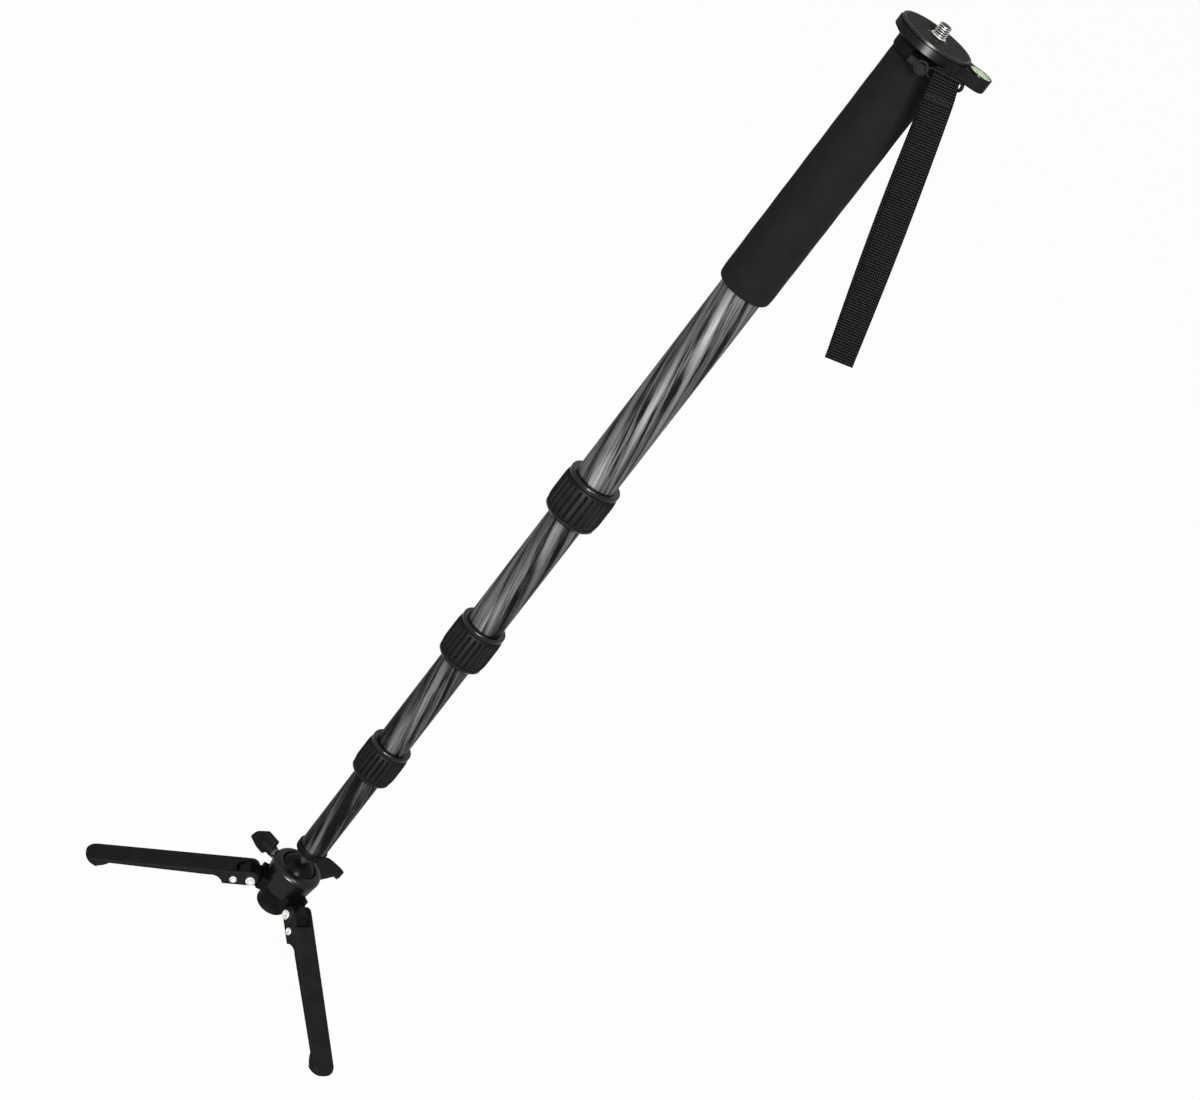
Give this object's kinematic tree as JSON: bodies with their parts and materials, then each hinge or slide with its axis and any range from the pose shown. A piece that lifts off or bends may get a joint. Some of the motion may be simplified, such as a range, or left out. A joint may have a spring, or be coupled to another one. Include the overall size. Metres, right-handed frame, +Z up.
{
  "type": "camera monopod",
  "caption": "Telescoping carbon camera monopod with twist locks, a foam grip, a camera screw on a platform with a level, a wrist strap and a ball base with folding legs.",
  "frame": {"origin": "on the pole's axis, at the floor under the spread legs", "axes": "+Z up the pole, +X towards the level tab of the camera platform, the wrist strap on the -Y side"},
  "size_m": [0.2524, 0.2385, 0.8903],
  "materials": {
    "black_casting": "satin black anodised",
    "black_steel": "black oxide",
    "carbon": "glossy carbon tube with slanting streaks",
    "rubber": "matt ribbed rubber",
    "foam": "matt foam",
    "nylon": "black nylon",
    "bright_steel": "bright nickel",
    "aluminium": "turned aluminium",
    "pad_grey": "grey friction pad",
    "webbing": "ribbed nylon webbing",
    "vial": "yellow-green level fluid in its cup",
    "lens": "clear dome",
    "brass": "brake shoe"
  },
  "bodies": {
    "base": {"ball_housing": "black_casting", "leg_hub": "black_casting", "foot_cap": "rubber", "seat_spring": "black_steel", "brake_shoe": "brass"},
    "seat": {"ball_seat": "nylon"},
    "ball": {"ball": "black_steel"},
    "section_4": {"ball_stem": "bright_steel", "stem_washers": "bright_steel", "tube_plug": "aluminium", "tube_end_collar": "black_casting", "tube_4": "carbon", "guide_bush_4": "nylon"},
    "section_3": {"tube_3": "carbon", "ferrule_3": "black_casting", "collet_3": "nylon", "guide_bush_3": "nylon"},
    "section_2": {"tube_2": "carbon", "ferrule_2": "black_casting", "collet_2": "nylon", "guide_bush_2": "nylon"},
    "section_1": {"tube_1": "carbon", "ferrule_1": "black_casting", "collet_1": "nylon", "foam_grip": "foam", "top_collar": "black_casting", "top_plug": "aluminium", "mount_plate": "black_casting", "camera_plate": "black_casting", "camera_pad": "pad_grey", "camera_stud": "bright_steel", "plate_screws": "black_steel", "level_vial": "vial", "level_bezel": "aluminium", "level_lens": "lens", "strap_lug": "black_casting", "lug_screw": "black_steel"},
    "lock_nut_1": {"twist_nut_1": "nylon", "grip_sleeve_1": "rubber"},
    "lock_nut_2": {"twist_nut_2": "nylon", "grip_sleeve_2": "rubber"},
    "lock_nut_3": {"twist_nut_3": "nylon", "grip_sleeve_3": "rubber"},
    "strap": {"strap_ring": "black_steel", "wrist_strap": "webbing"},
    "knob": {"lock_knob": "nylon", "knob_shaft": "bright_steel", "knob_collar": "aluminium"},
    "leg_1": {"leg_1": "black_casting", "leg_pad_1": "rubber", "leg_pivot_1": "bright_steel", "leg_pin_1": "bright_steel"},
    "leg_2": {"leg_2": "black_casting", "leg_pad_2": "rubber", "leg_pivot_2": "bright_steel", "leg_pin_2": "bright_steel"},
    "leg_3": {"leg_3": "black_casting", "leg_pad_3": "rubber", "leg_pivot_3": "bright_steel", "leg_pin_3": "bright_steel"}
  },
  "joints": [
    {"name": "ball_pan", "type": "hinge", "parent": "base", "child": "seat", "pos_m": [0, 0, 0.06611], "axis": [0, 0, 1], "continuous": true},
    {"name": "ball_tilt", "type": "hinge", "parent": "seat", "child": "ball", "pos_m": [0, 0, 0.06611], "axis": [0, -1, 0], "range_deg": [-20, 0]},
    {"name": "ball_swivel", "type": "hinge", "parent": "ball", "child": "section_4", "pos_m": [0, 0, 0.06611], "axis": [0, 0, 1], "continuous": true},
    {"name": "slide_3", "type": "slide", "parent": "section_4", "child": "section_3", "axis": [0, 0, 1], "range_m": [-0.08, 0.235]},
    {"name": "slide_2", "type": "slide", "parent": "section_3", "child": "section_2", "axis": [0, 0, 1], "range_m": [-0.088, 0.235]},
    {"name": "slide_1", "type": "slide", "parent": "section_2", "child": "section_1", "axis": [0, 0, 1], "range_m": [-0.105, 0.225]},
    {"name": "lock_1_twist", "type": "hinge", "parent": "section_1", "child": "lock_nut_1", "pos_m": [0, 0, 0.46421], "axis": [0, 0, 1], "range_deg": [0, 120]},
    {"name": "lock_2_twist", "type": "hinge", "parent": "section_2", "child": "lock_nut_2", "pos_m": [0, 0, 0.31891], "axis": [0, 0, 1], "range_deg": [0, 120]},
    {"name": "lock_3_twist", "type": "hinge", "parent": "section_3", "child": "lock_nut_3", "pos_m": [0, 0, 0.19411], "axis": [0, 0, 1], "range_deg": [0, 120]},
    {"name": "leg_1_fold", "type": "hinge", "parent": "base", "child": "leg_1", "pos_m": [-0.02616, -0.01025, 0.05071], "axis": [-0.3649, 0.9311, 0], "range_deg": [0, 115]},
    {"name": "leg_2_fold", "type": "hinge", "parent": "base", "child": "leg_2", "pos_m": [0.02196, -0.01753, 0.05071], "axis": [-0.6239, -0.7815, 0], "range_deg": [0, 115]},
    {"name": "leg_3_fold", "type": "hinge", "parent": "base", "child": "leg_3", "pos_m": [0.0042, 0.02778, 0.05071], "axis": [0.9888, -0.1495, 0], "range_deg": [0, 115]},
    {"name": "knob_turn", "type": "hinge", "parent": "base", "child": "knob", "pos_m": [0, 0, 0.06611], "axis": [-0.9511, 0.309, 0], "range_deg": [0, 90]},
    {"name": "ring_swing", "type": "hinge", "parent": "section_1", "child": "strap", "pos_m": [0.004, -0.02965, 0.86501], "axis": [0, 1, 0], "range_deg": [0, 80]}
  ]
}
